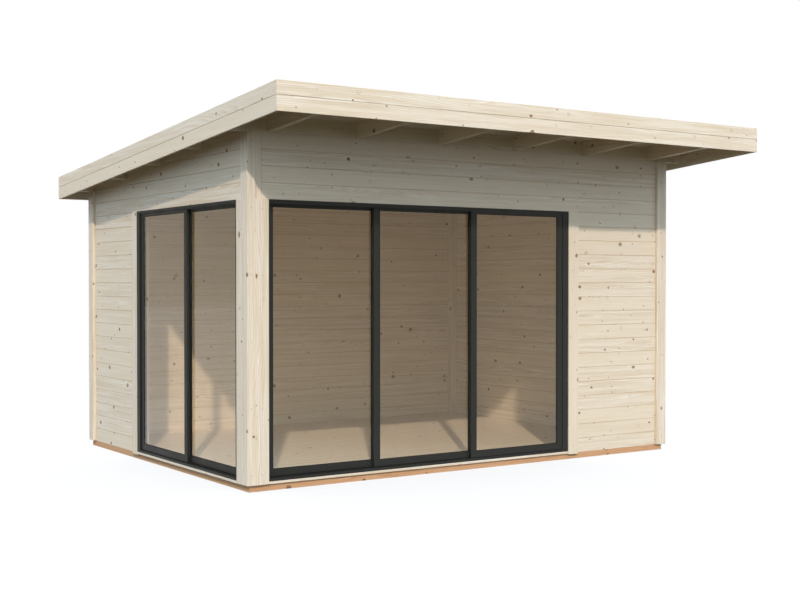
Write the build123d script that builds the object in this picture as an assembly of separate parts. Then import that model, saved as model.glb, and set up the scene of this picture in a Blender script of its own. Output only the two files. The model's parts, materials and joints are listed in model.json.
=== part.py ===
from build123d import *

import math
import os

# Garden shed of timber boards with a single-pitch roof and two sliding glass units.
# Origin: centre of the footprint, at ground level. +X runs to the right along the front, +Y to the back, +Z up.
# All lengths are millimetres.

# Body, over the corner boards
body_width = 4200
body_depth = 3200
trim_thickness = 27
wall_thickness = 44
front_wall_height = 2541
opening_height = 2057

# Base and floor
base_height = 48
base_beam_width = 70
joist_count = 7
floor_thickness = 20

# Posts, corner boards and opening trims
corner_post_side = 100
inner_post_side = 70
corner_board_width = 110
near_corner_front_leg = 68
near_corner_side_leg = 101
corner_board_lift = 2
opening_trim_width = 108
opening_trim_drop = 6

# Openings, measured from the near corner of the body
near_trim_end = 175
door_frame_end = 3042
side_frame_end = 2043

# Sliding frames
door_frame_recess = 10
side_frame_recess = 0
frame_face_width = 60
frame_lip = 12
frame_bar_height = 20
first_track_face = 13
last_track_margin = 6
door_tracks = 3
side_tracks = 2
member_joint = 0.3

# Sashes
sash_thickness = 21
sash_gap = 6
sash_side_clearance = 5
sash_level_clearance = 6
sash_fixed_clearance = 0.3
stile_width = 54
sash_top_rail = 22
sash_bottom_rail = 51

# Glass panes, held in a groove of the sash
glass_thickness = 6
glass_seat = 8
glass_setback = 5
glass_fit = 0.3

# Runners of the sashes: rails on the sill with glides on them, and fins under the head
runner_width = 5
runner_height = 2
glide_length = 60
glide_width = 9
glide_inset = 80
running_gap = 0.3
guide_fin_width = 2
guide_fin_height = 10
outer_fin_gap = 1

# Inner linings round the openings
lining_thickness = 40
lining_width = 70

# Roof frame
roof_pitch = 4.6
front_overhang = 842
side_overhang = 216
rear_overhang = 188
rafter_count = 6
rafter_width = 45
rafter_height = 120
first_rafter_centre = 195
lookout_count = 5

# Roof skin and fascias
deck_thickness = 19
felt_thickness = 4
fascia_thickness = 20
fascia_lower_height = 105
fascia_upper_height = 95
fascia_joint = 2
fascia_drop = 44

# Planes and levels worked out from the sizes above
left = -body_width / 2
right = body_width / 2
front = -body_depth / 2
rear = body_depth / 2
clad_left = left + trim_thickness
clad_right = right - trim_thickness
clad_front = front + trim_thickness
clad_rear = rear - trim_thickness
room_left = clad_left + wall_thickness
room_right = clad_right - wall_thickness
room_front = clad_front + wall_thickness
room_rear = clad_rear - wall_thickness
floor_top = base_height + floor_thickness
head_level = base_height + opening_height
front_wall_top = base_height + front_wall_height
slope = math.tan(math.radians(roof_pitch))
post_end_x = clad_left + corner_post_side
post_end_y = clad_front + corner_post_side
door_end = left + door_frame_end
side_end = front + side_frame_end
track_pitch = sash_thickness + sash_gap
door_frame_depth = first_track_face + door_tracks * track_pitch - sash_gap + last_track_margin
side_frame_depth = first_track_face + side_tracks * track_pitch - sash_gap + last_track_margin
door_frame_back = front + door_frame_depth
side_frame_back = left + side_frame_depth


def roof_level(y):
    """Height of the rafters' underside at depth y."""
    return front_wall_top - (y - clad_front) * slope


def block(x0, x1, y0, y1, z0, z1):
    """A plain rectangular piece between two corners."""
    return Pos(x0, y0, z0) * Box(x1 - x0, y1 - y0, z1 - z0, align=Align.MIN)


def side_profile(x0, x1, points):
    """A profile drawn in the YZ plane and extruded from x0 to x1."""
    face = make_face(Polyline([(x0, y, z) for y, z in points], close=True))
    return extrude(face, amount=x1 - x0, dir=(1, 0, 0))


def under_roof(x0, x1, y0, y1, z0):
    """A piece that stands on z0 and meets the rafters' underside."""
    return side_profile(x0, x1, [(y0, z0), (y1, z0), (y1, roof_level(y1)), (y0, roof_level(y0))])


def along_slope(x0, x1, y0, y1, low, high):
    """A piece that follows the roof, between two heights above the rafters' underside."""
    points = [(y0, roof_level(y0) + low), (y1, roof_level(y1) + low)]
    points += [(y1, roof_level(y1) + high), (y0, roof_level(y0) + high)]
    return side_profile(x0, x1, points)


def spread(first, last, count):
    """Evenly spaced places from first to last."""
    return [first + (last - first) * i / (count - 1) for i in range(count)]


def save(name, *solids):
    """Writes one sub-part, of one or more separate solids."""
    shape = solids[0] if len(solids) == 1 else Compound(children=list(solids))
    shape.label = name
    export_step(shape, f"parts/{name}.step")


# Base frame: two long beams with joists between them
def make_base():
    inner_front = clad_front + base_beam_width
    inner_rear = clad_rear - base_beam_width
    save(
        "base_beams",
        block(clad_left, clad_right, clad_front, inner_front, 0, base_height),
        block(clad_left, clad_right, inner_rear, clad_rear, 0, base_height),
    )
    half = base_beam_width / 2
    places = spread(clad_left + half, clad_right - half, joist_count)
    save("base_joists", *[block(x - half, x + half, inner_front, inner_rear, 0, base_height) for x in places])


# Sills under the two glass units, and the floor inside them
def make_floor():
    door_sill = block(post_end_x, door_end, clad_front, door_frame_back, base_height, floor_top)
    side_sill = block(clad_left, side_frame_back, post_end_y, side_end, base_height, floor_top)
    floor = block(room_left, room_right, room_front, room_rear, base_height, floor_top)
    floor -= block(clad_left, post_end_x, clad_front, post_end_y, base_height, floor_top)
    floor -= door_sill
    floor -= side_sill
    save("sills", door_sill, side_sill)
    save("floor", floor)


# Walls, split beside and over the two openings
def make_walls():
    save("front_wall", under_roof(door_end, clad_right, clad_front, room_front, base_height))
    save("front_lintel", under_roof(post_end_x, door_end, clad_front, room_front, head_level))
    save("left_wall", under_roof(clad_left, room_left, side_end, room_rear, base_height))
    save("left_lintel", under_roof(clad_left, room_left, post_end_y, side_end, head_level))
    save("right_wall", under_roof(room_right, clad_right, room_front, room_rear, base_height))
    save("rear_wall", under_roof(clad_left, clad_right, room_rear, clad_rear, base_height))


# Posts: one in the near corner between the glass units, three inside the other corners
def make_posts():
    save("corner_post", under_roof(clad_left, post_end_x, clad_front, post_end_y, base_height))
    side = inner_post_side
    save(
        "inner_posts",
        under_roof(room_right - side, room_right, room_front, room_front + side, floor_top),
        under_roof(room_right - side, room_right, room_rear - side, room_rear, floor_top),
        under_roof(room_left, room_left + side, room_rear - side, room_rear, floor_top),
    )


# Corner boards: two boards on each outer corner, the one across the front or back covering the other's edge
def corner_boards(at_right, at_rear, across, along):
    z0 = base_height + corner_board_lift
    covered = trim_thickness + member_joint
    x0, x1 = (right - across, right) if at_right else (left, left + across)
    y0, y1 = (rear - trim_thickness, rear) if at_rear else (front, front + trim_thickness)
    face = under_roof(x0, x1, y0, y1, z0)
    x0, x1 = (right - trim_thickness, right) if at_right else (left, left + trim_thickness)
    y0, y1 = (rear - along, rear - covered) if at_rear else (front + covered, front + along)
    return face, under_roof(x0, x1, y0, y1, z0)


def make_corner_boards():
    width = corner_board_width
    save("corner_boards_front_left", *corner_boards(False, False, near_corner_front_leg, near_corner_side_leg))
    save("corner_boards_front_right", *corner_boards(True, False, width, width))
    save("corner_boards_rear_left", *corner_boards(False, True, width, width))
    save("corner_boards_rear_right", *corner_boards(True, True, width, width))


# Upright trims beside the glass units
def make_opening_trims():
    low = base_height + corner_board_lift
    lower = base_height - opening_trim_drop
    back_y = front + trim_thickness
    back_x = left + trim_thickness
    save(
        "opening_trims",
        block(left + near_corner_front_leg, left + near_trim_end, front, back_y, low, head_level),
        block(door_end, door_end + opening_trim_width, front, back_y, lower, head_level),
        block(left, back_x, front + near_corner_side_leg, front + near_trim_end, low, head_level),
        block(left, back_x, side_end, side_end + opening_trim_width, lower, head_level),
    )


# Linings round the glass units, on the room side of the walls
def make_linings():
    top = head_level + lining_width
    upright_top = head_level - member_joint
    door_back = room_front + lining_thickness
    side_back = room_left + lining_thickness
    save(
        "inner_linings",
        block(door_end, door_end + lining_width, room_front, door_back, floor_top, upright_top),
        block(post_end_x, door_end + lining_width, room_front, door_back, head_level, top),
        block(room_left, side_back, side_end, side_end + lining_width, floor_top, upright_top),
        block(room_left, side_back, post_end_y, side_end + lining_width, head_level, top),
    )


# A sliding glass unit is drawn along u from the near corner, with v into the building.
# The front unit has u along X, and the side unit has u along Y.
def front_piece(u0, u1, v0, v1, z0, z1):
    return block(left + u0, left + u1, front + v0, front + v1, z0, z1)


def side_piece(u0, u1, v0, v1, z0, z1):
    return block(left + v0, left + v1, front + u0, front + u1, z0, z1)


near_flange_start = trim_thickness + corner_post_side
near_jamb_face = near_trim_end + frame_lip
sill_top = floor_top + frame_bar_height
head_bottom = head_level - frame_bar_height
sash_low = sill_top + sash_level_clearance
sash_high = head_bottom - sash_level_clearance


def track_face(track):
    """Outer face of a sash, counted from the outermost track."""
    return first_track_face + track * track_pitch


def frame_members(piece, end, face, back):
    """Jambs, sill and head of one unit. The near jamb passes behind the near trim."""
    far_jamb_face = end - frame_face_width
    near_jamb = piece(near_trim_end, near_jamb_face, face, back, floor_top, head_level)
    near_jamb += piece(near_flange_start, near_trim_end, trim_thickness, back, floor_top, head_level)
    far_jamb = piece(far_jamb_face, end, face, back, floor_top, head_level)
    bar_start = near_jamb_face + member_joint
    bar_end = far_jamb_face - member_joint
    sill = piece(bar_start, bar_end, face, back, floor_top, sill_top)
    head = piece(bar_start, bar_end, face, back, head_bottom, head_level)
    return near_jamb, far_jamb, sill, head


def runner_rails(piece, end, tracks):
    """A low rail on the sill under the middle of each sash."""
    start = near_jamb_face + member_joint
    stop = end - frame_face_width - member_joint
    rails = []
    for track in range(tracks):
        middle = track_face(track) + sash_thickness / 2
        v0 = middle - runner_width / 2
        rails.append(piece(start, stop, v0, v0 + runner_width, sill_top, sill_top + runner_height))
    return rails


def guide_fins(piece, end, tracks):
    """Fins under the head, one on each side of every sash, that the sash tops run between."""
    start = near_jamb_face + member_joint
    stop = end - frame_face_width - member_joint
    places = [track_face(0) - outer_fin_gap - guide_fin_width]
    places += [track_face(track) - (sash_gap + guide_fin_width) / 2 for track in range(1, tracks + 1)]
    low = head_bottom - guide_fin_height
    return [piece(start, stop, v, v + guide_fin_width, low, head_bottom) for v in places]


def sash_width(end, count):
    """Width of equal sashes that overlap by one stile and close the unit."""
    closed_edge = end - frame_face_width - sash_side_clearance
    return (closed_edge - near_jamb_face - sash_fixed_clearance + (count - 1) * stile_width) / count


def sash_start(end, count, index):
    """Near edge of a closed sash. Index 0 is the outermost, at the far end."""
    width = sash_width(end, count)
    return end - frame_face_width - sash_side_clearance - width - index * (width - stile_width)


def glass_pane(piece, start, width, track, grow):
    """The pane of a sash, or with grow the room that its groove leaves."""
    u0 = start + stile_width - glass_seat - grow
    u1 = start + width - stile_width + glass_seat + grow
    v0 = track_face(track) + glass_setback - grow
    v1 = track_face(track) + glass_setback + glass_thickness + grow
    z0 = sash_low + sash_bottom_rail - glass_seat - grow
    z1 = sash_high - sash_top_rail + glass_seat + grow
    return piece(u0, u1, v0, v1, z0, z1)


def sash_members(piece, start, width, track):
    """Two stiles and two rails, grooved for the glass."""
    v0 = track_face(track)
    v1 = v0 + sash_thickness
    stop = start + width
    rail_start = start + stile_width + member_joint
    rail_stop = stop - stile_width - member_joint
    groove = glass_pane(piece, start, width, track, glass_fit)
    members = [
        piece(start, start + stile_width, v0, v1, sash_low, sash_high),
        piece(stop - stile_width, stop, v0, v1, sash_low, sash_high),
        piece(rail_start, rail_stop, v0, v1, sash_low, sash_low + sash_bottom_rail),
        piece(rail_start, rail_stop, v0, v1, sash_high - sash_top_rail, sash_high),
    ]
    return [member - groove for member in members]


def sash_glides(piece, start, width, track):
    """Two glides under the sash that ride on its rail."""
    middle = track_face(track) + sash_thickness / 2
    v0 = middle - glide_width / 2
    z0 = sill_top + runner_height + running_gap
    places = (start + glide_inset, start + width - glide_inset - glide_length)
    return [piece(u, u + glide_length, v0, v0 + glide_width, z0, sash_low) for u in places]


def make_sash(prefix, piece, end, count, index):
    start = sash_start(end, count, index)
    width = sash_width(end, count)
    number = count - index
    save(f"{prefix}_sash_{number}", *sash_members(piece, start, width, index))
    save(f"{prefix}_glass_{number}", glass_pane(piece, start, width, index, 0))
    save(f"{prefix}_glides_{number}", *sash_glides(piece, start, width, index))


def make_glass_units():
    save("door_frame", *frame_members(front_piece, door_frame_end, door_frame_recess, door_frame_depth))
    save("side_frame", *frame_members(side_piece, side_frame_end, side_frame_recess, side_frame_depth))
    tracks = runner_rails(front_piece, door_frame_end, door_tracks)
    tracks += guide_fins(front_piece, door_frame_end, door_tracks)
    tracks += runner_rails(side_piece, side_frame_end, side_tracks)
    tracks += guide_fins(side_piece, side_frame_end, side_tracks)
    save("sliding_tracks", *tracks)
    for index in range(door_tracks):
        make_sash("door", front_piece, door_frame_end, door_tracks, index)
    for index in range(side_tracks):
        make_sash("side", side_piece, side_frame_end, side_tracks, index)


# Roof outline, inside and outside the fascias
roof_left = left - side_overhang
roof_right = right + side_overhang
roof_front = front - front_overhang
roof_rear = rear + rear_overhang
inner_left = roof_left + fascia_thickness
inner_right = roof_right - fascia_thickness
inner_front = roof_front + fascia_thickness
inner_rear = roof_rear - fascia_thickness


# Rafters from front to back, with short lookouts that carry the side overhangs
def make_roof_frame():
    half = rafter_width / 2
    first_x = left + first_rafter_centre
    rafter_places = spread(first_x, -first_x, rafter_count)
    save(
        "rafters",
        *[along_slope(x - half, x + half, inner_front, inner_rear, 0, rafter_height) for x in rafter_places],
    )
    lookout_places = spread(clad_front + half, clad_rear - half, lookout_count)
    ends = ((inner_left, first_x - half), (-first_x + half, inner_right))
    save(
        "lookouts",
        *[along_slope(x0, x1, y - half, y + half, 0, rafter_height) for x0, x1 in ends for y in lookout_places],
    )
    gaps = list(zip(rafter_places[:-1], rafter_places[1:]))
    rows = ((clad_front, room_front), (room_rear, clad_rear))
    blocks = [along_slope(a + half, b - half, y0, y1, 0, rafter_height) for a, b in gaps for y0, y1 in rows]
    gaps = list(zip(lookout_places[:-1], lookout_places[1:]))
    rows = ((clad_left, room_left), (room_right, clad_right))
    blocks += [along_slope(x0, x1, a + half, b - half, 0, rafter_height) for a, b in gaps for x0, x1 in rows]
    save("roof_blocking", *blocks)


# Boarded deck under a sheet of felt
def make_roof_skin():
    deck_top = rafter_height + deck_thickness
    save("roof_deck", along_slope(inner_left, inner_right, inner_front, inner_rear, rafter_height, deck_top))
    felt_top = deck_top + felt_thickness
    save("roof_felt", along_slope(inner_left, inner_right, inner_front, inner_rear, deck_top, felt_top))


# Fascias: a lower and an upper board on each side, with a shadow joint between them
def make_fascias():
    lower_top = fascia_lower_height - fascia_drop
    upper_low = lower_top + fascia_joint
    upper_top = upper_low + fascia_upper_height
    steps = ((-fascia_drop, lower_top), (upper_low, upper_top))
    for name, y, y0, y1 in (
        ("fascia_front", roof_front, roof_front, inner_front),
        ("fascia_rear", roof_rear, inner_rear, roof_rear),
    ):
        z = roof_level(y)
        save(name, *[block(roof_left, roof_right, y0, y1, z + low, z + high) for low, high in steps])
    for name, x0, x1 in (
        ("fascia_left", roof_left, inner_left),
        ("fascia_right", inner_right, roof_right),
    ):
        save(name, *[along_slope(x0, x1, inner_front, inner_rear, low, high) for low, high in steps])


os.makedirs("parts", exist_ok=True)
make_base()
make_floor()
make_walls()
make_posts()
make_corner_boards()
make_opening_trims()
make_linings()
make_glass_units()
make_roof_frame()
make_roof_skin()
make_fascias()
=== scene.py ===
# %% [markdown]
# # A garden shed, dressed board by board
#
# The construction of this shed comes ready measured: every post, rafter and pane is a
# named solid that lies where it belongs. This lesson gives those solids their looks.
# Plank walls become rows of single boards, sawn pieces get eased edges, and each material
# is built from shader nodes that read the place of a point on the piece.
#
# The frame is loaded first. Its objects sit at the origin, with their place in the mesh.

import itertools
import json
import math

import bpy
from mathutils import Matrix, Vector


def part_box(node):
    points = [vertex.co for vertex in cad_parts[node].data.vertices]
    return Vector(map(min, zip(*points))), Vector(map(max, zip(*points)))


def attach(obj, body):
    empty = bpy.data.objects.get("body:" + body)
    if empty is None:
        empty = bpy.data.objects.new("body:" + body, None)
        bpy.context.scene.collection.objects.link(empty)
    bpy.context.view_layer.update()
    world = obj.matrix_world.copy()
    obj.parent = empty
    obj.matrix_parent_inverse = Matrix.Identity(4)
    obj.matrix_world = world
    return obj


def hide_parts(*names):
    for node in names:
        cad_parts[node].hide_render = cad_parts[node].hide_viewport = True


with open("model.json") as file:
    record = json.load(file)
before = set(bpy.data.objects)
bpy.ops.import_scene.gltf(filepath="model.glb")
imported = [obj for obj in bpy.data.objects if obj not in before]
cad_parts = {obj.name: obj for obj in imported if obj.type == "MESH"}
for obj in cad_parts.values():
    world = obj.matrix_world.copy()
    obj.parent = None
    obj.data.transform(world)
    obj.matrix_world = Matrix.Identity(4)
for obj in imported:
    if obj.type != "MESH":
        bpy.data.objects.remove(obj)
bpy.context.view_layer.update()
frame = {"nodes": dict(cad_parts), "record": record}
bodies_of_nodes = {
    node: body
    for body, nodes in frame["record"]["behaviour"]["bodies"].items()
    for node in nodes
}

# %% [markdown]
# ## Measures
#
# Every place below is worked out from the solids, so a board can't drift away from the
# wall that it covers. Two small helpers read the sides of a node's box.

# %% Read places from the solids


def low(node, axis):
    """Lowest coordinate of a node along an axis, 0 for X, 1 for Y, 2 for Z."""
    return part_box(node)[0][axis]


def high(node, axis):
    """Highest coordinate of a node along an axis."""
    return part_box(node)[1][axis]


MM = 0.001
board_cover = 121 * MM
base_top = high("base_beams", 2)
clad_left, clad_front = low("base_beams", 0), low("base_beams", 1)
front_wall_top = high("front_wall", 2)
rear_wall_top = high("rear_wall", 2)
roof_slope = (front_wall_top - rear_wall_top) / (low("rear_wall", 1) - clad_front)
roof_angle = math.atan(roof_slope)
print("roof falls", round(math.degrees(roof_angle), 2), "degrees to the back")
print("boards to the eaves:", round((front_wall_top - base_top) / board_cover, 2))

# %% [markdown]
# ## Camera, light and ground
#
# The picture of this shed was taken from the left, at eye height,
# with a fairly long lens. The camera stands there, almost level, and never moves for a
# pose.

# %% Place the camera
view_yaw = math.radians(34.0274)
view_pitch = math.radians(-0.8233)
eye_point = (-6.1573, -9.5523, 1.5154)
camera_data = bpy.data.cameras.new("viewpoint")
camera_data.lens = 56.04
camera_data.sensor_width = 36
camera_data.clip_end = 200
camera = bpy.data.objects.new("viewpoint", camera_data)
bpy.context.scene.collection.objects.link(camera)
camera.location = eye_point
camera.rotation_euler = (math.pi / 2 + view_pitch, 0, -view_yaw)
bpy.context.scene.camera = camera
print("camera", [round(v, 2) for v in camera.location], "lens", camera_data.lens)

# %% [markdown]
# A low sun from the front left rakes over the eaves and through the glass. It is slightly
# warm, and the even light of the surroundings slightly cool, so sunlit timber looks cream
# and shaded timber grey. A second sun lamp, as wide as a third of the sky, fills the front
# softly and throws no edge. Together they light a front board at a plain level, at which a
# colour comes out about as it is written.

# %% Light it with a sun and a soft fill


def sun_lamp(name, direction, energy, angle, colour):
    """A sun lamp that shines from a direction. A wide angle, in degrees, makes soft shadows."""
    data = bpy.data.lights.new(name, "SUN")
    data.energy = energy
    data.angle = math.radians(angle)
    data.color = colour
    lamp = bpy.data.objects.new(name, data)
    bpy.context.scene.collection.objects.link(lamp)
    lamp.rotation_euler = Vector(direction).to_track_quat("Z", "Y").to_euler()
    height = math.degrees(math.asin(Vector(direction).normalized().z))
    print(name, round(height, 1), "degrees high")


sun_direction = (-0.60, -1.0, 0.76)
fill_direction = (0.0, -1.0, 0.25)
sun_lamp("sun", sun_direction, energy=2.04, angle=1.6, colour=(1.0, 0.885, 0.80))
sun_lamp("soft_fill", fill_direction, energy=0.50, angle=100, colour=(1.0, 0.86, 0.62))

# %% [markdown]
# Shader nodes are added many times below, so one small class keeps that readable: it adds
# a node, sets its options, and either writes a value in a socket or links another socket.


# %% A helper that wires nodes
class Wiring:
    """Adds nodes to one node tree. An input is a plain value or another node's output."""

    def __init__(self, tree):
        self.tree = tree
        self.count = 0

    def node(self, kind, inputs=None, **options):
        made = self.tree.nodes.new(kind)
        made.location = (180 * (self.count % 12), -220 * (self.count // 12))
        self.count += 1
        for name, value in options.items():
            setattr(made, name, value)
        for name, value in (inputs or {}).items():
            self.feed(made.inputs[name], value)
        return made

    def feed(self, socket, value):
        if isinstance(value, bpy.types.NodeSocket):
            self.tree.links.new(value, socket)
        else:
            socket.default_value = value

    def math(self, operation, *values):
        made = self.node("ShaderNodeMath", operation=operation)
        for socket, value in zip(made.inputs, values):
            self.feed(socket, value)
        return made.outputs[0]

    def vector(self, operation, *values):
        made = self.node("ShaderNodeVectorMath", operation=operation)
        for socket, value in zip(made.inputs, values):
            self.feed(socket, value)
        return made.outputs["Value" if operation in ("LENGTH", "DISTANCE") else "Vector"]

    def noise(self, vector, scale=1.0, detail=2.0, rough=0.5):
        values = {"Vector": vector, "Scale": scale, "Detail": detail, "Roughness": rough}
        return self.node("ShaderNodeTexNoise", values).outputs["Fac"]

    def span(self, value, start, stop, low_end=0.0, high_end=1.0):
        values = {0: value, 1: start, 2: stop, 3: low_end, 4: high_end}
        made = self.node("ShaderNodeMapRange", values, interpolation_type="SMOOTHSTEP")
        return made.outputs[0]

    def blend(self, factor, first, second):
        made = self.node("ShaderNodeMix", data_type="RGBA")
        self.feed(made.inputs[0], factor)
        self.feed(made.inputs[6], first)
        self.feed(made.inputs[7], second)
        return made.outputs[2]


def srgb(red, green, blue):
    """A colour as seen on screen, 0 to 255, turned into the linear values that nodes use."""
    shares = (red / 255, green / 255, blue / 255)
    linear = [s / 12.92 if s <= 0.04045 else ((s + 0.055) / 1.055) ** 2.4 for s in shares]
    return (*linear, 1)


print("mid grey is", [round(c, 3) for c in srgb(128, 128, 128)])

# %% [markdown]
# The surroundings are plain white where the camera or a look through glass meets them. They
# are cooler where they light the shed. What a reflection meets is a warm mid tone, as of a
# garden in front of the shed, so the glass shows the room and not a white sheet.

# %% White surroundings
world = bpy.data.worlds.new("surroundings")
bpy.context.scene.world = world
world.use_nodes = True
world.node_tree.nodes.clear()
wire = Wiring(world.node_tree)
path = wire.node("ShaderNodeLightPath").outputs
seen = wire.math("MAXIMUM", path["Is Camera Ray"], path["Is Transmission Ray"])
plain_white = (1, 1, 1, 1)
skylight = (0.90, 1.10, 1.32, 1)
mirrored_garden = (0.56, 0.50, 0.40, 1)
lit = wire.blend(path["Is Glossy Ray"], skylight, mirrored_garden)
colour = wire.blend(seen, lit, plain_white)
background = wire.node("ShaderNodeBackground", {"Color": colour, "Strength": 1.0})
wire.node("ShaderNodeOutputWorld", {"Surface": background.outputs[0]})
print("skylight", skylight[:3])

# %% [markdown]
# The ground is one large pale plane that keeps a soft shadow of the shed. Towards its rim
# it fades to pure white, so it runs into the white behind it with no horizon. To the light
# that bounces off it, it is dark: otherwise it would light up the eaves from below. What
# the glass mirrors of it is a little duller, so the glass stays clear near the ground.

# %% Pale ground
ground_reach = 60.0
fade_start, fade_end = 4.0, 9.0
white_near_shed = 0.72
ground_colour = (0.90, 0.90, 0.90, 1)
bounce_colour = (0.045, 0.04, 0.025, 1)
mirrored_ground = (0.87, 0.85, 0.81, 1)
bpy.ops.object.select_all(action="DESELECT")
bpy.ops.mesh.primitive_plane_add(size=2 * ground_reach, location=(0, 0, 0))
ground = bpy.context.object
ground.name = "ground"
ground_material = bpy.data.materials.new("pale_ground")
ground_material.use_nodes = True
ground_material.node_tree.nodes.clear()
wire = Wiring(ground_material.node_tree)
path = wire.node("ShaderNodeLightPath").outputs
seen = wire.math("MAXIMUM", path["Is Camera Ray"], path["Is Transmission Ray"])
seen = wire.math("MAXIMUM", seen, path["Is Glossy Ray"])
tint = wire.blend(path["Is Glossy Ray"], plain_white, mirrored_ground)
place = wire.node("ShaderNodeTexCoord").outputs["Object"]
far = wire.span(wire.vector("LENGTH", place), fade_start, fade_end, white_near_shed, 1.0)
shade = wire.blend(seen, bounce_colour, ground_colour)
paper = wire.node("ShaderNodeBsdfDiffuse", {"Color": shade})
white = wire.node("ShaderNodeEmission", {"Color": tint, "Strength": 1.0})
values = {0: wire.math("MULTIPLY", seen, far), 1: paper.outputs[0], 2: white.outputs[0]}
mixed = wire.node("ShaderNodeMixShader", values)
wire.node("ShaderNodeOutputMaterial", {"Surface": mixed.outputs[0]})
ground.data.materials.append(ground_material)
bpy.context.scene.view_settings.view_transform = "Standard"
print("ground reaches", ground_reach, "m each way")

# %% [markdown]
# ## Materials
#
# ### Grain
#
# All timber here is sawn from spruce, so all of it shares one node group. The group reads
# a place in metres whose X runs along the board. It makes the rings as contour lines of a
# slow noise, which gives the long arches of a flat-sawn board, and it bends those lines
# round the knots. Each board carries a number of its own, the attribute "board", that
# shifts the pattern, so no two boards look alike. Y and Z are added up into one distance
# across the board, because on any face of a board one of the two stands still.

# %% Make the grain group


def new_group(name, inputs, outputs):
    """A new shader node group, the helper that wires it, and what its inputs are given."""
    group = bpy.data.node_groups.new(name, "ShaderNodeTree")
    for socket_name, kind, default in inputs:
        socket = group.interface.new_socket(socket_name, in_out="INPUT", socket_type=kind)
        if default is not None:
            socket.default_value = default
    for socket_name in outputs:
        group.interface.new_socket(socket_name, in_out="OUTPUT", socket_type="NodeSocketFloat")
    tools = Wiring(group)
    given = tools.node("NodeGroupInput").outputs
    return group, tools, given


def make_grain_group():
    group, wire, given = new_group(
        "timber_grain",
        [
            ("Position", "NodeSocketVector", None),
            ("Board", "NodeSocketFloat", 0.0),
            ("Ring Spacing", "NodeSocketFloat", 0.006),
            ("Knot Share", "NodeSocketFloat", 0.6),
            ("Knot Size", "NodeSocketFloat", 1.0),
        ],
        ["Rings", "Fibre", "Cloud", "Knot", "Knot Rim", "Knot Age", "Tone", "Height"],
    )
    place = wire.node("ShaderNodeSeparateXYZ", {0: given["Position"]}).outputs
    tone = wire.node("ShaderNodeTexWhiteNoise", {"W": given["Board"]}, noise_dimensions="1D")
    farthest_shift = 37.0
    shift = wire.math("MULTIPLY", tone.outputs["Value"], farthest_shift)
    along = wire.math("ADD", place["X"], shift)
    across = wire.math("ADD", place["Y"], place["Z"])

    # Knots: each cell of the board may hold one, with its own size and age
    cell_length, cell_width = 0.36, 0.11
    smallest_radius, radius_range = 0.0042, 0.0100
    knot_squeeze = (0.8, 1.0, 0)
    cell_x = wire.math("DIVIDE", along, cell_length)
    cell_y = wire.math("DIVIDE", wire.math("ADD", across, shift), cell_width)
    cell = wire.node("ShaderNodeCombineXYZ", {0: cell_x, 1: cell_y}).outputs[0]
    values = {"Vector": cell, "Scale": 1.0}
    knots = wire.node("ShaderNodeTexVoronoi", values, voronoi_dimensions="2D")
    chance = wire.node("ShaderNodeSeparateColor", {0: knots.outputs["Color"]}).outputs
    gap = wire.vector("SUBTRACT", cell, knots.outputs["Position"])
    gap = wire.vector("MULTIPLY", gap, (cell_length, cell_width, 0))
    wobble = wire.noise(given["Position"], 60.0, 1.0)
    reach = wire.vector("LENGTH", wire.vector("MULTIPLY", gap, knot_squeeze))
    reach = wire.math("MULTIPLY", reach, wire.span(wobble, 0.2, 0.8, 0.8, 1.25))
    large_share = wire.math("POWER", chance["Red"], 3.0)
    radius = wire.math("MULTIPLY_ADD", large_share, radius_range, smallest_radius)
    radius = wire.math("MULTIPLY", radius, given["Knot Size"])
    there = wire.math("LESS_THAN", chance["Green"], given["Knot Share"])
    ratio = wire.math("DIVIDE", reach, radius)
    knot = wire.math("MULTIPLY", wire.span(ratio, 1.1, 0.8), there)
    rim = wire.math("SUBTRACT", wire.span(ratio, 1.5, 0.95), wire.span(ratio, 0.9, 0.5))
    rim = wire.math("MULTIPLY", rim, there)

    # Rings: contour lines that keep clear of the knots
    ring_weight, arch_weight = 0.5, 13.0
    pull = wire.math("MULTIPLY", wire.span(ratio, 4.2, 0.6), there)
    side = wire.node("ShaderNodeSeparateXYZ", {0: gap}).outputs["Y"]
    pushed = wire.math("MULTIPLY", wire.math("MULTIPLY", side, pull), 0.8)
    bent = wire.math("SUBTRACT", across, pushed)

    def streaks(along_scale, across_scale, detail, rough):
        """A noise drawn out along the board."""
        values = {
            0: wire.math("MULTIPLY", along, along_scale),
            1: wire.math("MULTIPLY", bent, across_scale),
            2: shift,
        }
        stretched = wire.node("ShaderNodeCombineXYZ", values).outputs[0]
        return wire.noise(stretched, 1.0, detail, rough)

    arches = wire.math("MULTIPLY", streaks(0.85, 9.0, 1.5, 0.4), arch_weight)
    count = wire.math("DIVIDE", bent, given["Ring Spacing"])
    count = wire.math("MULTIPLY_ADD", count, ring_weight, arches)
    phase = wire.math("FRACT", count)
    rings = wire.math("MULTIPLY", wire.span(phase, 0.25, 0.9), wire.span(phase, 1.0, 0.92))

    # Fibre and cloud: fine streaks, and broad soft bands
    fibre = streaks(6.0, 420.0, 3.0, 0.6)
    cloud = streaks(1.3, 38.0, 4.0, 0.6)
    height = wire.math("MULTIPLY_ADD", rings, 0.5, wire.math("MULTIPLY", fibre, 0.5))
    height = wire.math("MULTIPLY_ADD", knot, 0.6, height)
    results = {
        "Rings": rings,
        "Fibre": fibre,
        "Cloud": cloud,
        "Knot": knot,
        "Knot Rim": rim,
        "Knot Age": chance["Blue"],
        "Tone": tone.outputs["Value"],
        "Height": height,
    }
    wire.node("NodeGroupOutput", results)
    return group


grain_group = make_grain_group()
print("grain group nodes:", len(grain_group.nodes))
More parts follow.
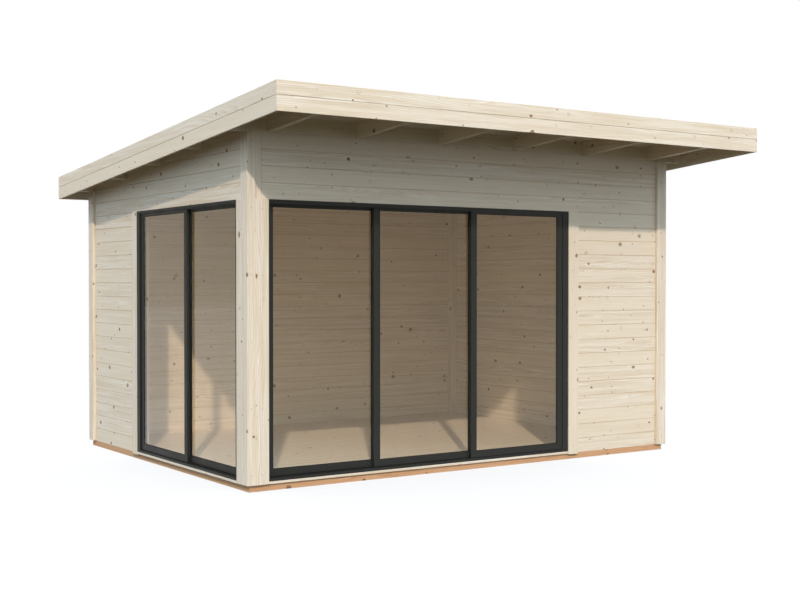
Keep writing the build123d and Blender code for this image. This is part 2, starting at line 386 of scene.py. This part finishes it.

# %% [markdown]
# ### Timber finishes
#
# A finish is the same group with its own colours. The board's length may run along X, Y or
# Z, so a finish is made once for each direction that it is used in, and its Mapping node
# turns that direction to X. The joints get the same timber darker: painted shade in the V.

# %% Make the timber finishes
TURN_TO_X = {
    "x": (0, 0, 0),
    "y": (0, 0, -math.pi / 2),
    "z": (0, math.pi / 2, 0),
}
ring_spacing = 6 * MM
knot_share = 0.72
knot_size = 1.0
ring_depth, fibre_depth, tone_depth, rim_depth = 0.5, 0.5, 0.7, 0.75


def timber(name, direction, colours, rough=0.55):
    """One finish of sawn timber. colours holds pale, band, ring, tone, live knot, dead knot."""
    pale, band, ring, tone, live, dead = (srgb(*c) for c in colours)
    material = bpy.data.materials.new(f"{name}_{direction}")
    material.use_nodes = True
    material.node_tree.nodes.clear()
    wire = Wiring(material.node_tree)
    place = wire.node("ShaderNodeTexCoord").outputs["Object"]
    turned = wire.node("ShaderNodeMapping", {"Vector": place, "Rotation": TURN_TO_X[direction]})
    board = wire.node("ShaderNodeAttribute", attribute_name="board").outputs["Fac"]
    grain = wire.node("ShaderNodeGroup", node_tree=grain_group)
    wire.feed(grain.inputs["Position"], turned.outputs[0])
    wire.feed(grain.inputs["Board"], board)
    grain.inputs["Ring Spacing"].default_value = ring_spacing
    grain.inputs["Knot Share"].default_value = knot_share
    grain.inputs["Knot Size"].default_value = knot_size
    masks = grain.outputs
    colour = wire.blend(wire.span(masks["Cloud"], 0.36, 0.66), pale, band)
    colour = wire.blend(wire.math("MULTIPLY", masks["Rings"], ring_depth), colour, ring)
    colour = wire.blend(wire.span(masks["Fibre"], 0.42, 0.80, 0.0, fibre_depth), colour, ring)
    colour = wire.blend(wire.span(masks["Tone"], 0.3, 1.0, 0.0, tone_depth), colour, tone)
    colour = wire.blend(wire.math("MULTIPLY", masks["Knot Rim"], rim_depth), colour, dead)
    heart = wire.blend(masks["Knot Age"], dead, live)
    colour = wire.blend(masks["Knot"], colour, heart)
    roughness = wire.span(masks["Rings"], 0.0, 1.0, rough, rough - 0.12)
    values = {"Strength": 0.35, "Distance": 1.2 * MM, "Height": masks["Height"]}
    bump = wire.node("ShaderNodeBump", values)
    values = {"Base Color": colour, "Roughness": roughness, "Normal": bump.outputs[0]}
    shader = wire.node("ShaderNodeBsdfPrincipled", values)
    shader.inputs["Specular IOR Level"].default_value = 0.3
    wire.node("ShaderNodeOutputMaterial", {"Surface": shader.outputs[0]})
    return material


def darker(colours, red, green, blue):
    """The same colours, each channel lowered to a share of itself."""
    return [(red * r, green * g, blue * b) for r, g, b in colours]


spruce_colours = (
    (243, 234, 218),
    (224, 208, 182),
    (204, 179, 145),
    (231, 216, 191),
    (160, 114, 74),
    (108, 76, 50),
)
spruce = {d: timber("spruce", d, spruce_colours) for d in "xyz"}
# Darker, browner joint colours: painted shade for the inside of each V joint
joint_shade_colours = darker(spruce_colours, 0.90, 0.84, 0.76)
spruce_joint_shade = {d: timber("spruce_joint_shade", d, joint_shade_colours) for d in "xy"}
floor_colours = (
    (253, 246, 236),
    (246, 234, 218),
    (222, 200, 174),
    (244, 229, 209),
    (158, 112, 74),
    (98, 66, 42),
)
floor_spruce = timber("floor_spruce", "x", floor_colours, rough=0.45)
# The floor joints, likewise darker: painted shade inside the V
floor_joint_shade = timber("floor_joint_shade", "x", darker(floor_colours, 0.72, 0.64, 0.54))
treated_colours = (
    (220, 174, 132),
    (208, 160, 118),
    (178, 128, 88),
    (198, 160, 118),
    (120, 76, 44),
    (66, 42, 26),
)
treated = {d: timber("treated_timber", d, treated_colours, rough=0.75) for d in "xyz"}
print("timber finishes:", len(spruce) + len(spruce_joint_shade) + len(treated) + 2)

# %% [markdown]
# ### Coated metal, rubber, plastic and felt
#
# These share a second group: a fine, even speckle, which is the orange peel of powder
# coating, the dull skin of rubber, or the mineral grains of roofing felt, by its size. The
# attribute "board" shifts the tone here too, so each strip of felt has its own.

# %% Make the speckle group


def make_speckle_group():
    group, wire, given = new_group(
        "fine_speckle",
        [
            ("Position", "NodeSocketVector", None),
            ("Grain Size", "NodeSocketFloat", 0.001),
            ("Patch Size", "NodeSocketFloat", 0.3),
        ],
        ["Speckle", "Patches", "Height"],
    )
    fine = wire.vector("DIVIDE", given["Position"], given["Grain Size"])
    grains = wire.node("ShaderNodeTexVoronoi", {"Vector": fine, "Scale": 1.0})
    speckle = wire.node("ShaderNodeSeparateColor", {0: grains.outputs["Color"]}).outputs["Red"]
    coarse = wire.vector("DIVIDE", given["Position"], given["Patch Size"])
    patches = wire.noise(coarse, 1.0, 4.0, 0.6)
    height = wire.math("SUBTRACT", 1.0, grains.outputs["Distance"])
    wire.node("NodeGroupOutput", {"Speckle": speckle, "Patches": patches, "Height": height})
    return group


speckle_group = make_speckle_group()


def coated(name, dark, light, grain_size, patch_size, rough, bump_height, strength=0.3):
    """A material of one colour, varied by grains and by soft patches."""
    material = bpy.data.materials.new(name)
    material.use_nodes = True
    material.node_tree.nodes.clear()
    wire = Wiring(material.node_tree)
    place = wire.node("ShaderNodeTexCoord").outputs["Object"]
    speckle = wire.node("ShaderNodeGroup", node_tree=speckle_group)
    wire.feed(speckle.inputs["Position"], place)
    speckle.inputs["Grain Size"].default_value = grain_size
    speckle.inputs["Patch Size"].default_value = patch_size
    masks = speckle.outputs
    board = wire.node("ShaderNodeAttribute", attribute_name="board").outputs["Fac"]
    tone = wire.node("ShaderNodeTexWhiteNoise", {"W": board}, noise_dimensions="1D")
    patches = wire.math("MULTIPLY", masks["Patches"], 0.35)
    share = wire.math("MULTIPLY_ADD", tone.outputs["Value"], 0.3, patches)
    share = wire.math("MULTIPLY_ADD", masks["Speckle"], 0.35, share)
    colour = wire.blend(share, srgb(*dark), srgb(*light))
    roughness = wire.span(masks["Patches"], 0.3, 0.7, rough - 0.06, rough + 0.06)
    values = {"Strength": strength, "Distance": bump_height, "Height": masks["Height"]}
    bump = wire.node("ShaderNodeBump", values)
    values = {"Base Color": colour, "Roughness": roughness, "Normal": bump.outputs[0]}
    shader = wire.node("ShaderNodeBsdfPrincipled", values)
    shader.inputs["Specular IOR Level"].default_value = 0.3
    wire.node("ShaderNodeOutputMaterial", {"Surface": shader.outputs[0]})
    return material


# Each row: dark tone, light tone, grain size, patch size, roughness, bump height
coated_metal = coated(
    "anthracite_coating", (32, 34, 32), (42, 44, 42), 1.2 * MM, 250 * MM, 0.5, 0.05 * MM
)
rubber = coated("black_rubber", (20, 20, 21), (34, 34, 35), 0.8 * MM, 50 * MM, 0.72, 0.04 * MM)
glide_plastic = coated(
    "glide_plastic", (24, 24, 25), (36, 36, 37), 0.8 * MM, 30 * MM, 0.4, 0.03 * MM
)
zinc = coated(
    "zinc_plating", (150, 146, 138), (172, 168, 160), 0.6 * MM, 20 * MM, 0.35, 0.02 * MM
)
felt = coated(
    "roofing_felt", (40, 38, 35), (84, 80, 74), 2.2 * MM, 400 * MM, 0.9, 0.9 * MM, strength=0.8
)
print("coated materials: metal, rubber, plastic, zinc, felt")

# %% [markdown]
# ### Tinted glass
#
# The panes are brown-tinted. Plain refraction would keep the sun out of the room, because
# its light doesn't find its way through bent rays, so a shadow ray meets a see-through
# shader of the same tint instead. The room is then lit as it is behind real glass.

# %% Make the tinted glass


def make_glass():
    material = bpy.data.materials.new("tinted_glass")
    material.use_nodes = True
    material.node_tree.nodes.clear()
    wire = Wiring(material.node_tree)
    place = wire.node("ShaderNodeTexCoord").outputs["Object"]
    film = wire.span(wire.noise(place, 1.6, 3.0), 0.3, 0.7)
    tint = wire.blend(film, (0.81, 0.775, 0.695, 1), (0.84, 0.805, 0.725, 1))
    shader = wire.node("ShaderNodeBsdfPrincipled", {"Base Color": tint})
    shader.inputs["Transmission Weight"].default_value = 1.0
    shader.inputs["Roughness"].default_value = 0.0
    shader.inputs["IOR"].default_value = 1.45
    one_face = wire.blend(film, (0.93, 0.915, 0.88, 1), (0.95, 0.935, 0.90, 1))
    clear = wire.node("ShaderNodeBsdfTransparent", {"Color": one_face})
    path = wire.node("ShaderNodeLightPath").outputs
    light = wire.math("MAXIMUM", path["Is Shadow Ray"], path["Is Diffuse Ray"])
    values = {0: light, 1: shader.outputs[0], 2: clear.outputs[0]}
    mixed = wire.node("ShaderNodeMixShader", values)
    wire.node("ShaderNodeOutputMaterial", {"Surface": mixed.outputs[0]})
    return material


tinted_glass = make_glass()
print("glass ready")

# %% [markdown]
# ## Sawn pieces with eased edges
#
# Nobody leaves a sawn edge razor sharp: posts, trims and fascias are planed with edges
# eased by a millimetre or two, and that narrow band is what catches the light. The solids
# are right in size, so a copy of each is taken, its loose triangles are merged, flat faces
# are joined again, and a Bevel modifier eases the edges.

# %% Ease the edges of a copied node


def only(piece):
    """Selects one object and makes it the active one."""
    bpy.ops.object.select_all(action="DESELECT")
    piece.select_set(True)
    bpy.context.view_layer.objects.active = piece


def apply_modifier(piece, kind, **settings):
    """Adds one modifier with these settings and applies it."""
    only(piece)
    modifier = piece.modifiers.new(kind.lower(), kind)
    for name, value in settings.items():
        setattr(modifier, name, value)
    bpy.ops.object.modifier_apply(modifier=modifier.name)


merge_distance = 0.02 * MM
flat_angle = math.radians(0.5)


def eased_copy(node, width, segments=2):
    """A copy of a node as whole faces, with its edges eased."""
    source = frame["nodes"][node]
    piece = bpy.data.objects.new(f"{node}_eased", source.data.copy())
    bpy.context.scene.collection.objects.link(piece)
    only(piece)
    bpy.ops.object.mode_set(mode="EDIT")
    bpy.ops.mesh.select_all(action="SELECT")
    bpy.ops.mesh.remove_doubles(threshold=merge_distance)
    bpy.ops.mesh.dissolve_limited(angle_limit=flat_angle)
    bpy.ops.object.mode_set(mode="OBJECT")
    apply_modifier(piece, "BEVEL", width=width, segments=segments, limit_method="ANGLE")
    return piece


def loose_parts(mesh):
    """Numbers the separate parts of a mesh. Returns one number for each vertex."""
    part = list(range(len(mesh.vertices)))

    def root(i):
        while part[i] != i:
            part[i] = part[part[i]]
            i = part[i]
        return i

    for edge in mesh.edges:
        a, b = (root(i) for i in edge.vertices)
        part[max(a, b)] = min(a, b)
    roots = [root(i) for i in range(len(part))]
    order = {r: n for n, r in enumerate(sorted(set(roots)))}
    return [order[r] for r in roots]


def part_boxes(mesh, numbers):
    """Lowest and highest corner of each loose part, in the order of their numbers."""
    parts = {}
    for vertex, number in zip(mesh.vertices, numbers):
        parts.setdefault(number, []).append(vertex.co)
    return [
        tuple(Vector([pick(p[i] for p in parts[number]) for i in range(3)]) for pick in (min, max))
        for number in sorted(parts)
    ]


piece_numbers = itertools.count(1)
piece_step, board_step = 100.0, 1.37


def number_boards(piece):
    """Writes a number for each loose part to the attribute that the grain reads."""
    numbers = loose_parts(piece.data)
    start = piece_step * next(piece_numbers)
    board = piece.data.attributes.new("board", "FLOAT", "POINT")
    board.data.foreach_set("value", [start + n * board_step for n in numbers])
    return numbers


def finish_by_length(piece, finish, numbers):
    """Gives each loose part the version of a finish that runs along its longest side."""
    piece.data.materials.clear()
    for direction in "xyz":
        piece.data.materials.append(finish[direction])
    sizes = [highest - lowest for lowest, highest in part_boxes(piece.data, numbers)]
    longest = [list(size).index(max(size)) for size in sizes]
    for face in piece.data.polygons:
        face.material_index = longest[numbers[face.vertices[0]]]


def settle(piece, body, slot, *nodes):
    """Puts a finished piece on its body, in place of its nodes. The slot is not used."""
    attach(piece, body)
    if nodes:
        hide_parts(*nodes)


timber_nodes = {
    "spruce": (
        spruce,
        [
            "corner_post", "inner_posts", "inner_linings", "opening_trims", "sills",
            "corner_boards_front_left", "corner_boards_front_right",
            "corner_boards_rear_left", "corner_boards_rear_right",
            "fascia_front", "fascia_rear", "fascia_left", "fascia_right",
            "rafters", "lookouts", "roof_blocking",
        ],
    ),
    "base_timber": (treated, ["base_beams", "base_joists"]),
}
edge_width = 1.8 * MM
for slot, (finish, nodes) in timber_nodes.items():
    for node in nodes:
        piece = eased_copy(node, edge_width)
        numbers = number_boards(piece)
        finish_by_length(piece, finish, numbers)
        settle(piece, bodies_of_nodes[node], slot, node)
        print(node, "parts:", max(numbers) + 1, "faces:", len(piece.data.polygons))

# %% [markdown]
# ## Plank walls
#
# The walls are tongued and grooved planks, 121 mm to the row. What shows is a V joint
# between the rows, inside and out. One plank is modelled: a cube set to the plank's size,
# its four long edges bevelled. It is copied up the wall, and the top row is cut along the
# roof with bisect. The joint is closed at its bottom, so no light comes through.
#
# The bevelled faces take the second material slot, a darker, browner finish: painted shade
# of the V, and from a distance that thin brown line is all one sees of it. Over a
# doorway the planks run on from the wall beside it, so one row there spans both solids.

# %% Model one plank and copy it up a wall
joint_bevel = 2.4 * MM


def plank(name, lowest, highest, along, finish):
    """A board of the given box, with its four long edges bevelled. along is 0 or 1."""
    bpy.ops.object.select_all(action="DESELECT")
    centre = (Vector(lowest) + Vector(highest)) / 2
    bpy.ops.mesh.primitive_cube_add(size=1, location=centre)
    piece = bpy.context.object
    piece.name = name
    piece.scale = Vector(highest) - Vector(lowest)
    bpy.ops.object.transform_apply(location=True, rotation=True, scale=True)
    for material in finish:
        piece.data.materials.append(material)
    for edge in piece.data.edges:
        a, b = (piece.data.vertices[i].co for i in edge.vertices)
        edge.select = abs(a[along] - b[along]) > 1e-6
    bpy.ops.object.mode_set(mode="EDIT")
    bpy.ops.mesh.select_mode(type="EDGE")
    # Slot 1, the darker joint finish, goes on the bevels: painted shade in the V
    bpy.ops.mesh.bevel(offset=joint_bevel, segments=1, affect="EDGES", material=1)
    bpy.ops.object.mode_set(mode="OBJECT")
    return piece


def copies_along(piece, step, count):
    """Copies a piece by equal steps, each with a mesh of its own."""
    made = [piece]
    for i in range(1, count):
        copy = piece.copy()
        copy.data = piece.data.copy()
        copy.data.transform(Matrix.Translation(Vector(step) * i))
        bpy.context.scene.collection.objects.link(copy)
        made.append(copy)
    return made


def join(pieces, name):
    """Joins pieces into the first of them."""
    bpy.ops.object.select_all(action="DESELECT")
    for piece in pieces:
        piece.select_set(True)
    bpy.context.view_layer.objects.active = pieces[0]
    if len(pieces) > 1:
        bpy.ops.object.join()
    pieces[0].name = name
    return pieces[0]


def cut_away(piece, point, normal):
    """Cuts off what lies on the side that the normal points to, and closes the cut."""
    only(piece)
    bpy.ops.object.mode_set(mode="EDIT")
    bpy.ops.mesh.select_all(action="SELECT")
    bpy.ops.mesh.bisect(plane_co=point, plane_no=normal, use_fill=True, clear_outer=True)
    bpy.ops.mesh.select_all(action="SELECT")
    bpy.ops.mesh.normals_make_consistent(inside=False)
    bpy.ops.object.mode_set(mode="OBJECT")


roof_normal = (0, roof_slope, 1)
roof_point = (0, clad_front, front_wall_top)


def rows_of_planks(lowest, highest, top_level, along, finish):
    """Planks in the plan of a box, from its foot until they reach the top level."""
    # A hair is taken off, so a wall of whole rows gets no row more
    rows = math.ceil((top_level - lowest.z) / board_cover - 1e-3)
    top = (highest.x, highest.y, lowest.z + board_cover)
    return copies_along(plank("row", lowest, top, along, finish), (0, 0, board_cover), rows)


def plank_wall(along, wall_node, lintel_node=None):
    """Rows of planks in a wall's box, cut off along the roof. Those over a doorway run on."""
    finish = (spruce["xyz"[along]], spruce_joint_shade["xyz"[along]])
    lowest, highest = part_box(wall_node)
    top_level = highest.z
    nodes = [wall_node]
    planks = []
    if lintel_node:
        nodes.append(lintel_node)
        lintel_low, lintel_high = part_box(lintel_node)
        planks += rows_of_planks(lowest, highest, lintel_low.z, along, finish)
        lowest = lintel_low
        top_level = max(top_level, lintel_high.z)
    planks += rows_of_planks(lowest, highest, top_level, along, finish)
    wall = join(planks, f"{wall_node}_planks")
    number_boards(wall)
    cut_away(wall, roof_point, roof_normal)
    settle(wall, bodies_of_nodes[wall_node], "spruce", *nodes)
    print(wall_node, "rows:", len(planks), "faces:", len(wall.data.polygons))


plank_wall(0, "front_wall", "front_lintel")
plank_wall(0, "rear_wall")
plank_wall(1, "left_wall", "left_lintel")
plank_wall(1, "right_wall")

# %% [markdown]
# ## Glass units
#
# The frames and sashes are coated aluminium with crisp, slightly rounded corners. The
# panes stay as they are and only get their material.

# %% Dress the frames, sashes and panes
metal_edge = 0.7 * MM
for node, body in bodies_of_nodes.items():
    if "_glass_" in node:
        pane = frame["nodes"][node]
        pane.data.materials.clear()
        pane.data.materials.append(tinted_glass)
    elif "_glides_" in node:
        glides = frame["nodes"][node]
        glides.data.materials.clear()
        glides.data.materials.append(glide_plastic)
    elif "_sash_" in node or node.endswith("_frame") or node == "sliding_tracks":
        piece = eased_copy(node, metal_edge, 1)
        piece.data.materials.clear()
        piece.data.materials.append(coated_metal)
        settle(piece, body, "frame_metal", node)
        print(node, "faces:", len(piece.data.polygons))

# %% [markdown]
# Each pane is held by a rubber gasket, a narrow lip all round on both of its faces. One lip
# is a plane the size of the opening, inset by the lip's width. Its middle is deleted, which
# leaves a ring, and Solidify gives the ring its thickness. It rides with its own sash.

# %% Seat the panes in rubber
glass_seat = 8 * MM
lip_width = 4.5 * MM
lip_height = 2.5 * MM
lip_round = 0.8 * MM


def gasket_lip(lowest, highest, across, outward):
    """A rubber ring flat on one face of a pane. across is the axis through the glass."""
    along = 1 - across
    size = highest - lowest
    turn = outward if across == 0 else -outward
    columns = [[0, 0, 0], [0, 0, size.z - 2 * glass_seat], [0, 0, 0]]
    columns[0][along] = turn * (size[along] - 2 * glass_seat)
    columns[2][across] = outward
    centre = (lowest + highest) / 2
    centre[across] = highest[across] if outward > 0 else lowest[across]
    bpy.ops.object.select_all(action="DESELECT")
    bpy.ops.mesh.primitive_plane_add(size=1)
    ring = bpy.context.object
    ring.data.transform(Matrix.Translation(centre) @ Matrix(columns).transposed().to_4x4())
    bpy.ops.object.mode_set(mode="EDIT")
    bpy.ops.mesh.select_all(action="SELECT")
    bpy.ops.mesh.inset(thickness=lip_width)
    bpy.ops.mesh.delete(type="FACE")
    bpy.ops.object.mode_set(mode="OBJECT")
    apply_modifier(ring, "SOLIDIFY", thickness=lip_height, offset=1)
    apply_modifier(ring, "BEVEL", width=lip_round, segments=2, limit_method="ANGLE")
    return ring


for node, body in bodies_of_nodes.items():
    if "_glass_" in node:
        across = 1 if node.startswith("door") else 0
        lips = [gasket_lip(*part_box(node), across, outward) for outward in (-1, 1)]
        gasket = join(lips, f"{node}_gasket")
        gasket.data.materials.append(rubber)
        settle(gasket, body, "glides")
        print(gasket.name, [[round(c, 4) for c in v] for v in gasket.bound_box][::6])

# %% [markdown]
# Rubber blades close what is left open round a sash: one hangs under its bottom rail, one
# stands along its far upright. Both stop short of the frame, so the sash still slides. A
# nosing finishes each timber sill. It is flush with the frame above it and runs from trim
# to trim.

# %% Seal the sashes and nose the sills
blade_reach = 4.4 * MM
blade_thickness = 3 * MM
blade_setback = 2 * MM
blade_round = 0.6 * MM


def solid_box(name, lowest, highest):
    """A plain box between two corners."""
    bpy.ops.object.select_all(action="DESELECT")
    bpy.ops.mesh.primitive_cube_add(size=1, location=(Vector(lowest) + Vector(highest)) / 2)
    piece = bpy.context.object
    piece.name = name
    piece.scale = Vector(highest) - Vector(lowest)
    bpy.ops.object.transform_apply(location=True, rotation=True, scale=True)
    return piece


for node, body in bodies_of_nodes.items():
    if "_sash_" in node:
        lowest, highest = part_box(node)
        across = 1 if node.startswith("door") else 0
        along = 1 - across
        start, stop = lowest.copy(), highest.copy()
        start[across] = lowest[across] + blade_setback
        stop[across] = start[across] + blade_thickness
        foot = Vector((start.x, start.y, lowest.z - blade_reach))
        below = solid_box("below", foot, (stop.x, stop.y, lowest.z))
        start[along] = highest[along]
        stop[along] = highest[along] + blade_reach
        beside = solid_box("beside", start, stop)
        blades = join([below, beside], f"{node}_blades")
        apply_modifier(blades, "BEVEL", width=blade_round, segments=2, limit_method="ANGLE")
        blades.data.materials.append(rubber)
        settle(blades, body, "glides")
        print(blades.name, "faces:", len(blades.data.polygons))

nosing_gap = 0.5 * MM
sill_low, sill_high = base_top + nosing_gap, low("door_frame", 2) - nosing_gap
trims = bpy.data.objects["opening_trims_eased"].data
front_trims, side_trims = [], []
for box in part_boxes(trims, loose_parts(trims)):
    size = box[1] - box[0]
    (front_trims if size.x > size.y else side_trims).append(box)
front_trims.sort(key=lambda box: box[0].x)
side_trims.sort(key=lambda box: box[0].y)
front_nosing = solid_box(
    "front",
    (front_trims[0][1].x, low("door_frame", 1), sill_low),
    (front_trims[1][0].x, clad_front, sill_high),
)
side_nosing = solid_box(
    "side",
    (low("side_frame", 0), side_trims[0][1].y, sill_low),
    (clad_left, side_trims[1][0].y, sill_high),
)
nosings = join([front_nosing, side_nosing], "sill_nosings")
apply_modifier(nosings, "BEVEL", width=edge_width, segments=2, limit_method="ANGLE")
finish_by_length(nosings, spruce, number_boards(nosings))
settle(nosings, "shed", "spruce")
print("nosings parts:", len(set(loose_parts(nosings.data))), "faces:", len(nosings.data.polygons))

# %% [markdown]
# ## Screws
#
# Corner boards and opening trims are screwed to the wall. One head is modelled: a short
# cylinder whose rim is bevelled, with a socket made by an inset and a push inwards. Then it
# is copied to every place, down the middle of each board at equal steps.

# %% Screw the trims on
screw_step = 484 * MM
screw_margin = 70 * MM
screw_radius = 3.6 * MM
screw_rise = 0.7 * MM
socket_inset = 0.55 * screw_radius
socket_depth = 0.8 * screw_rise
rim_round = 0.25 * MM


def screw_head():
    """A round head that looks along +Z, with its seat at the origin."""
    bpy.ops.object.select_all(action="DESELECT")
    bpy.ops.mesh.primitive_cylinder_add(vertices=16, radius=screw_radius, depth=2 * screw_rise)
    head = bpy.context.object
    for polygon in head.data.polygons:
        polygon.select = polygon.normal.z > 0.9
    bpy.ops.object.mode_set(mode="EDIT")
    bpy.ops.mesh.select_mode(type="FACE")
    bpy.ops.mesh.inset(thickness=socket_inset)
    bpy.ops.transform.translate(value=(0, 0, -socket_depth))
    bpy.ops.object.mode_set(mode="OBJECT")
    apply_modifier(head, "BEVEL", width=rim_round, segments=2, limit_method="ANGLE")
    return head


def screw_places(mesh, numbers):
    """Place and outward direction of each screw, down the middle of every loose board."""
    places = []
    for lowest, highest in part_boxes(mesh, numbers):
        through = 0 if highest.x - lowest.x < highest.y - lowest.y else 1
        centre = (lowest + highest) / 2
        outward = Vector((0, 0, 0))
        outward[through] = math.copysign(1, centre[through])
        centre[through] = highest[through] if outward[through] > 0 else lowest[through]
        start = lowest.z + screw_margin
        count = int((highest.z - 2 * screw_margin - lowest.z) / screw_step) + 1
        step = (highest.z - lowest.z - 2 * screw_margin) / count
        for i in range(count + 1):
            places.append((Vector((centre.x, centre.y, start + step * i)), outward))
    return places


trim_nodes = [n for n in bodies_of_nodes if n.startswith("corner_boards") or n == "opening_trims"]
first_head = screw_head()
heads = []
for node in trim_nodes:
    mesh = bpy.data.objects[f"{node}_eased"].data
    for place, outward in screw_places(mesh, loose_parts(mesh)):
        head = first_head.copy()
        head.data = first_head.data.copy()
        turn = outward.to_track_quat("Z", "Y").to_matrix().to_4x4()
        head.data.transform(Matrix.Translation(place) @ turn)
        bpy.context.scene.collection.objects.link(head)
        heads.append(head)
bpy.data.objects.remove(first_head)
screw_count = len(heads)
screws = join(heads, "trim_screws")
screws.data.materials.append(zinc)
settle(screws, "shed", "frame_metal")
print("screws:", screw_count, "faces:", len(screws.data.polygons))

# %% [markdown]
# ## Floor boards
#
# The floor boards are laid along the front, across the joists, and have the same V joint
# as the walls. The front one is cut round the sill and the corner post with two plain
# boxes and the Boolean modifier.

# %% Lay the floor


def cut_out(piece, lowest, highest):
    """Cuts a box-shaped notch."""
    cutter = solid_box("cutter", lowest, highest)
    apply_modifier(piece, "BOOLEAN", operation="DIFFERENCE", solver="EXACT", object=cutter)
    bpy.data.objects.remove(cutter)


def lay_floor():
    lowest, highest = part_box("floor")
    rows = math.ceil((highest.y - lowest.y) / board_cover)
    stop = (highest.x, lowest.y + board_cover, highest.z)
    first = plank("row", lowest, stop, 0, (floor_spruce, floor_joint_shade))
    floor = join(copies_along(first, (0, board_cover, 0), rows), "floor_boards")
    number_boards(floor)
    cut_away(floor, highest, (0, 1, 0))
    notch_top = highest.z + 100 * MM
    post_low, post_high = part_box("corner_post")
    cut_out(floor, post_low, (post_high.x, post_high.y, notch_top))
    sill_end = (low("front_wall", 0), high("door_frame", 1), notch_top)
    cut_out(floor, (post_low.x, post_low.y, 0), sill_end)
    settle(floor, bodies_of_nodes["floor"], "floor_boards", "floor")
    print("floor rows:", rows, "faces:", len(floor.data.polygons))


lay_floor()

# %% [markdown]
# ## Roof boards and felt
#
# The eaves show the roof boards from below, between the rafters. They are laid flat here,
# row by row, then turned down to the roof's fall about its front edge, and trimmed plumb
# at both eaves. The felt above is made of strips that run across the roof. Each one tilts
# up a little at its lower edge, where it laps over the next strip down, so rain runs off.

# %% Board the roof and lay the felt


def tip(piece, angle, pivot):
    """Turns a piece about a line along X. A positive angle sends its back end down."""
    only(piece)
    bpy.ops.object.mode_set(mode="EDIT")
    bpy.ops.mesh.select_all(action="SELECT")
    bpy.ops.transform.rotate(value=angle, orient_axis="X", center_override=pivot)
    bpy.ops.object.mode_set(mode="OBJECT")


def lay_roof_boards():
    lowest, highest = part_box("roof_deck")
    fall = roof_slope * (highest.y - lowest.y)
    thickness = (highest.z - lowest.z - fall) * math.cos(roof_angle)
    pivot = Vector((lowest.x, lowest.y, highest.z))
    rows = math.ceil((highest.y - lowest.y) / board_cover / math.cos(roof_angle)) + 1
    start = pivot - Vector((0, board_cover / 2, thickness))
    stop = (highest.x, start.y + board_cover, pivot.z)
    first = plank("row", start, stop, 0, (spruce["x"], spruce_joint_shade["x"]))
    roof = join(copies_along(first, (0, board_cover, 0), rows), "roof_boards")
    number_boards(roof)
    tip(roof, roof_angle, pivot)
    cut_away(roof, lowest, (0, -1, 0))
    cut_away(roof, highest, (0, 1, 0))
    settle(roof, bodies_of_nodes["roof_deck"], "spruce", "roof_deck")
    print("roof rows:", rows, "faces:", len(roof.data.polygons))


lay_roof_boards()

felt_sheet = 1.8 * MM
felt_lap = 80 * MM
felt_strips = 5
lapped_height = 2.2 * felt_sheet


def lay_felt():
    lowest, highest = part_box("roof_felt")
    depth = (highest.y - lowest.y) / math.cos(roof_angle)
    pivot = Vector((lowest.x, lowest.y, highest.z - lapped_height))
    step = (depth - felt_lap) / felt_strips
    tilt = math.asin(felt_sheet / (step + felt_lap))
    pieces = []
    for i in range(felt_strips):
        y = lowest.y + i * step
        far_corner = (highest.x, y + step + felt_lap, pivot.z + felt_sheet)
        strip = solid_box("strip", (lowest.x, y, pivot.z), far_corner)
        tip(strip, -tilt, (0, y, pivot.z))
        pieces.append(strip)
    felt_cover = join(pieces, "roof_felt_strips")
    tip(felt_cover, roof_angle, pivot)
    cut_away(felt_cover, lowest, (0, -1, 0))
    cut_away(felt_cover, highest, (0, 1, 0))
    number_boards(felt_cover)
    felt_cover.data.materials.append(felt)
    settle(felt_cover, bodies_of_nodes["roof_felt"], "roof_felt", "roof_felt")
    print("felt strips:", felt_strips, "faces:", len(felt_cover.data.polygons))


lay_felt()
